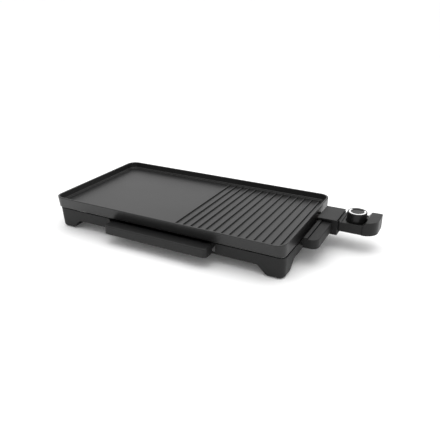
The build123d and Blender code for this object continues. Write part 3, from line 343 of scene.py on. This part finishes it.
class Recipe:
    def __init__(self, name, inputs):
        self.tree = bpy.data.node_groups.new(name, "GeometryNodeTree")
        face = self.tree.interface
        face.new_socket("Geometry", in_out="INPUT", socket_type="NodeSocketGeometry")
        self.keys = {}
        for label, kind in inputs.items():
            made = face.new_socket(label, in_out="INPUT", socket_type=kind)
            self.keys[label] = made.identifier
        face.new_socket("Geometry", in_out="OUTPUT", socket_type="NodeSocketGeometry")
        self.start = self.tree.nodes.new("NodeGroupInput")
        self.end = self.tree.nodes.new("NodeGroupOutput")

    def given(self, label):
        return self.start.outputs[label]

    def node(self, kind, settings=None, sockets=None):
        made = self.tree.nodes.new(kind)
        for key, value in (settings or {}).items():
            setattr(made, key, value)
        for key, value in (sockets or {}).items():
            if isinstance(value, bpy.types.NodeSocket):
                self.tree.links.new(value, made.inputs[key])
            else:
                made.inputs[key].default_value = value
        return made

    def maths(self, operation, first, second):
        return self.node("ShaderNodeMath", {"operation": operation}, {0: first, 1: second}).outputs[0]

    def vector(self, x=0.0, y=0.0, z=0.0):
        return self.node("ShaderNodeCombineXYZ", None, {0: x, 1: y, 2: z}).outputs[0]

    def shifted(self, geometry, offset):
        return self.node("GeometryNodeTransform", None,
                         {"Geometry": geometry, "Translation": offset}).outputs[0]

    # the last steps of every recipe
    def close(self, geometry):
        solid = self.node("GeometryNodeRealizeInstances", None, {0: geometry}).outputs[0]
        painted = self.node("GeometryNodeSetMaterial", None,
                            {"Geometry": solid, "Material": self.given("Finish")}).outputs[0]
        self.tree.links.new(painted, self.end.inputs[0])

    # runs the recipe on a mesh of points and leaves a plain mesh object
    def cook(self, name, mesh, values):
        source = bpy.data.objects.new(name + "Source", mesh)
        bpy.context.scene.collection.objects.link(source)
        modifier = source.modifiers.new("recipe", "NODES")
        modifier.node_group = self.tree
        for label, value in values.items():
            modifier[self.keys[label]] = value
        source.update_tag()
        graph = bpy.context.evaluated_depsgraph_get()
        made = bpy.data.meshes.new_from_object(source.evaluated_get(graph))
        source.modifiers.remove(modifier)
        bpy.data.objects.remove(source)
        piece = bpy.data.objects.new(name, made)
        bpy.context.scene.collection.objects.link(piece)
        return piece


screwLook = {"headTaper": 0.72, "domeShare": 0.45, "recessWidth": 0.26, "recessReach": 0.62,
             "recessDepth": 0.6, "sides": 28, "overlap": 0.00005}


def screwRecipe():
    recipe = Recipe("crossScrew", {
        "Head Radius": "NodeSocketFloat", "Head Height": "NodeSocketFloat",
        "Shank Radius": "NodeSocketFloat", "Shank Length": "NodeSocketFloat",
        "Finish": "NodeSocketMaterial"})
    headRadius, headHeight = recipe.given("Head Radius"), recipe.given("Head Height")
    skirtHeight = recipe.maths("MULTIPLY", headHeight, 1 - screwLook["domeShare"])
    domeHeight = recipe.maths("MULTIPLY", headHeight, screwLook["domeShare"])
    skirt = recipe.node("GeometryNodeMeshCylinder", None, {
        "Vertices": screwLook["sides"], "Radius": headRadius, "Depth": skirtHeight}).outputs[0]
    skirt = recipe.shifted(skirt, recipe.vector(z=recipe.maths("MULTIPLY", skirtHeight, 0.5)))
    dome = recipe.node("GeometryNodeMeshCone", None, {
        "Vertices": screwLook["sides"], "Radius Bottom": headRadius, "Depth": domeHeight,
        "Radius Top": recipe.maths("MULTIPLY", headRadius, screwLook["headTaper"])}).outputs[0]
    dome = recipe.shifted(dome, recipe.vector(z=skirtHeight))
    shank = recipe.node("GeometryNodeMeshCylinder", None, {
        "Vertices": screwLook["sides"], "Radius": recipe.given("Shank Radius"),
        "Depth": recipe.given("Shank Length")}).outputs[0]
    below = recipe.maths("MULTIPLY", recipe.given("Shank Length"), -0.5)
    shank = recipe.shifted(shank, recipe.vector(z=recipe.maths("ADD", below, screwLook["overlap"])))
    head = recipe.node("GeometryNodeMeshBoolean", {"operation": "UNION"})
    for piece in (skirt, dome, shank):
        recipe.tree.links.new(piece, head.inputs["Mesh 2"])
    wide = recipe.maths("MULTIPLY", headRadius, 2 * screwLook["recessReach"])
    narrow = recipe.maths("MULTIPLY", headRadius, screwLook["recessWidth"])
    deep = recipe.maths("MULTIPLY", headHeight, 2 * screwLook["recessDepth"])
    cross = recipe.node("GeometryNodeMeshBoolean", {"operation": "UNION"})
    for size in (recipe.vector(wide, narrow, deep), recipe.vector(narrow, wide, deep)):
        bar = recipe.node("GeometryNodeMeshCube", None, {"Size": size}).outputs[0]
        recipe.tree.links.new(recipe.shifted(bar, recipe.vector(z=headHeight)),
                              cross.inputs["Mesh 2"])
    screw = recipe.node("GeometryNodeMeshBoolean", {"operation": "DIFFERENCE"}, {
        "Mesh 1": head.outputs[0], "Mesh 2": cross.outputs[0]}).outputs[0]
    aim = recipe.node("GeometryNodeInputNamedAttribute", {"data_type": "FLOAT_VECTOR"},
                      {"Name": "aim"}).outputs[0]
    turn = recipe.node("FunctionNodeAlignRotationToVector", {"axis": "Z"},
                       {"Vector": aim}).outputs[0]
    placed = recipe.node("GeometryNodeInstanceOnPoints", None, {
        "Points": recipe.start.outputs[0], "Instance": screw, "Rotation": turn}).outputs[0]
    recipe.close(placed)
    return recipe


solidReading = {"weld": 0.01 * millimetre, "endSlice": 0.1 * millimetre, "shankMargin": 1.2}


# the separate solids of a CAD node, as lists of corner points
def separateSolids(name):
    mesh = bmesh.new()
    mesh.from_mesh(nodes[name].data)
    bmesh.ops.remove_doubles(mesh, verts=mesh.verts, dist=solidReading["weld"])
    left = set(mesh.verts)
    solids = []
    while left:
        group, edge = [], [left.pop()]
        while edge:
            corner = edge.pop()
            group.append(corner.co.copy())
            for line in corner.link_edges:
                other = line.other_vert(corner)
                if other in left:
                    left.remove(other)
                    edge.append(other)
        solids.append(group)
    mesh.free()

    def middle(group):
        return tuple(round(value, 4) for value in sum(group, Vector()) / len(group))
    return sorted(solids, key=middle)


# where one screw's head is, which way it faces and its sizes
def screwFacts(points):
    low = Vector([min(p[i] for p in points) for i in range(3)])
    high = Vector([max(p[i] for p in points) for i in range(3)])
    size = high - low
    axis = max(range(3), key=lambda i: size[i])
    middle = (low + high) / 2

    def reach(point):
        across = point - middle
        across[axis] = 0.0
        return across.length
    endSlice = solidReading["endSlice"]
    lowEnd = max(reach(p) for p in points if p[axis] < low[axis] + endSlice)
    highEnd = max(reach(p) for p in points if p[axis] > high[axis] - endSlice)
    facing = 1.0 if highEnd > lowEnd else -1.0
    headRadius, shankRadius = max(lowEnd, highEnd), min(lowEnd, highEnd)
    widest = shankRadius * solidReading["shankMargin"]
    bearing = [p[axis] for p in points if reach(p) > widest]
    inner = min(bearing) if facing > 0 else max(bearing)
    aim = Vector((0.0, 0.0, 0.0))
    aim[axis] = facing
    seat = middle.copy()
    seat[axis] = inner
    outer = high[axis] if facing > 0 else low[axis]
    return {"seat": seat, "aim": aim, "headRadius": headRadius, "shankRadius": shankRadius,
            "headHeight": abs(outer - inner), "shankLength": size[axis] - abs(outer - inner)}


screws = screwRecipe()
for name, pieceName in {"plate_screws": "plateScrews", "handle_screws": "handleScrews",
                        "inlet_screws": "inletScrews", "rail_screws": "railScrews",
                        "tray_bar_screws": "pullScrews", "shell_screws": "shellScrews"}.items():
    facts = [screwFacts(points) for points in separateSolids(name)]
    mesh = bpy.data.meshes.new(pieceName + "Points")
    mesh.from_pydata([fact["seat"] for fact in facts], [], [])
    aims = mesh.attributes.new("aim", "FLOAT_VECTOR", "POINT")
    for row, fact in zip(aims.data, facts):
        row.vector = fact["aim"]
    first = facts[0]
    piece = screws.cook(pieceName, mesh, {
        "Head Radius": first["headRadius"], "Head Height": first["headHeight"],
        "Shank Radius": first["shankRadius"], "Shank Length": first["shankLength"],
        "Finish": finishes["screw_steel"]})
    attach(piece, nodeBody[name])
    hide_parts(name)
print("screws made")


markLook = {"count": 9, "radius": 11.2, "length": 1.4, "width": 0.4, "height": 0.08,
            "firstAngle": -215.0, "sweep": 250.0, "arcSteps": 96, "dishDepth": 0.8}


def markRecipe():
    recipe = Recipe("dialMarks", {
        "Count": "NodeSocketInt", "Radius": "NodeSocketFloat", "Start": "NodeSocketFloat",
        "Sweep": "NodeSocketFloat", "Size": "NodeSocketVector", "Centre": "NodeSocketVector",
        "Finish": "NodeSocketMaterial"})
    arc = recipe.node("GeometryNodeCurveArc", {"mode": "RADIUS"}, {
        "Resolution": markLook["arcSteps"], "Radius": recipe.given("Radius"),
        "Start Angle": recipe.given("Start"), "Sweep Angle": recipe.given("Sweep")}).outputs[0]
    spots = recipe.node("GeometryNodeCurveToPoints", {"mode": "COUNT"},
                        {"Curve": arc, "Count": recipe.given("Count")})
    flatTurn = recipe.node("FunctionNodeAlignRotationToVector", {"axis": "X", "pivot_axis": "Z"}, {
        "Vector": recipe.node("GeometryNodeInputPosition").outputs[0]}).outputs[0]
    mark = recipe.node("GeometryNodeMeshCube", None, {"Size": recipe.given("Size")}).outputs[0]
    placed = recipe.node("GeometryNodeInstanceOnPoints", None, {
        "Points": spots.outputs[0], "Instance": mark, "Rotation": flatTurn}).outputs[0]
    recipe.close(recipe.shifted(placed, recipe.given("Centre")))
    return recipe


knobLow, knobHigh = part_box("dial_knob")
dialMiddle = (knobLow + knobHigh) / 2
dishFloor = knobHigh.z - markLook["dishDepth"] * millimetre
marks = markRecipe().cook("dialMarks", bpy.data.meshes.new("dialMarkPoints"), {
    "Count": markLook["count"], "Radius": markLook["radius"] * millimetre,
    "Start": math.radians(markLook["firstAngle"]), "Sweep": math.radians(markLook["sweep"]),
    "Size": [markLook["length"] * millimetre, markLook["width"] * millimetre,
             2 * markLook["height"] * millimetre],
    "Centre": [dialMiddle.x, dialMiddle.y, dishFloor],
    "Finish": finishes["ring_enamel"]})
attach(marks, "dial")
print("dial marks made")


studio = {"skyStrength": 1.2, "brightSide": (-0.1, 0.3, 0.95),
          "skyStops": [(0.0, 0.16), (0.45, 0.30), (0.7, 0.8), (0.9, 1.0)],
          "floorReach": 60.0, "floorShade": 0.92, "floorRoughness": 0.75,
          "floorGlow": 0.045, "keyPower": 14.0, "keySize": 1.6, "keyPlace": (0.1, -0.1, 1.7)}
view = {"place": (0.4822, -0.8729, 0.4726), "tilt": 65.95, "roll": 0.0, "turn": 27.48,
        "lens": 41.17, "nearest": 0.01}

world = bpy.context.scene.world or bpy.data.worlds.new("studio")
bpy.context.scene.world = world
world.use_nodes = True
sky = world.node_tree
background = sky.nodes["Background"]
background.inputs["Strength"].default_value = studio["skyStrength"]
direction = sky.nodes.new("ShaderNodeTexCoord").outputs["Generated"]
facing = sky.nodes.new("ShaderNodeVectorMath")
facing.operation = "DOT_PRODUCT"
facing.inputs[1].default_value = Vector(studio["brightSide"]).normalized()
halved = sky.nodes.new("ShaderNodeMath")
halved.operation = "MULTIPLY_ADD"
halved.inputs[1].default_value = 0.5
halved.inputs[2].default_value = 0.5
ramp = sky.nodes.new("ShaderNodeValToRGB")
rays = sky.nodes.new("ShaderNodeLightPath")
backdrop = sky.nodes.new("ShaderNodeMix")
backdrop.data_type = "RGBA"
backdrop.inputs[7].default_value = (1.0, 1.0, 1.0, 1.0)
while len(ramp.color_ramp.elements) < len(studio["skyStops"]):
    ramp.color_ramp.elements.new(0.5)
for stop, (height, shade) in zip(ramp.color_ramp.elements, studio["skyStops"]):
    stop.position = height
    stop.color = (shade, shade, shade, 1.0)
sky.links.new(direction, facing.inputs[0])
sky.links.new(facing.outputs["Value"], halved.inputs[0])
sky.links.new(halved.outputs[0], ramp.inputs[0])
sky.links.new(ramp.outputs[0], backdrop.inputs[6])
sky.links.new(rays.outputs["Is Camera Ray"], backdrop.inputs[0])
sky.links.new(backdrop.outputs[2], background.inputs["Color"])

floorMesh = bpy.data.meshes.new("floor")
reach = studio["floorReach"]
floorMesh.from_pydata([(-reach, -reach, 0), (reach, -reach, 0), (reach, reach, 0),
                       (-reach, reach, 0)], [], [(0, 1, 2, 3)])
floor = bpy.data.objects.new("floor", floorMesh)
bpy.context.scene.collection.objects.link(floor)
floorFinish = Finish("paleFloor")    # a faint glow lifts its shadows
floorMesh.materials.append(floorFinish.dress(
    Base_Color=colour(studio["floorShade"]), Roughness=studio["floorRoughness"],
    Emission_Color=colour(1.0), Emission_Strength=studio["floorGlow"]))

keyLamp = bpy.data.lights.new("keyPanel", "AREA")
keyLamp.size = studio["keySize"]
keyLamp.energy = studio["keyPower"]
key = bpy.data.objects.new("keyPanel", keyLamp)
key.location = studio["keyPlace"]
key.rotation_euler = (Vector((0, 0, 0)) - key.location).to_track_quat("-Z", "Y").to_euler()
bpy.context.scene.collection.objects.link(key)

lens = bpy.data.cameras.new("studioCamera")
lens.lens = view["lens"]
lens.clip_start = view["nearest"]
camera = bpy.data.objects.new("studioCamera", lens)
camera.location = view["place"]
camera.rotation_euler = [math.radians(view[angle]) for angle in ("tilt", "roll", "turn")]
bpy.context.scene.collection.objects.link(camera)
bpy.context.scene.camera = camera
bpy.context.scene.view_settings.view_transform = "Standard"
print("studio ready")
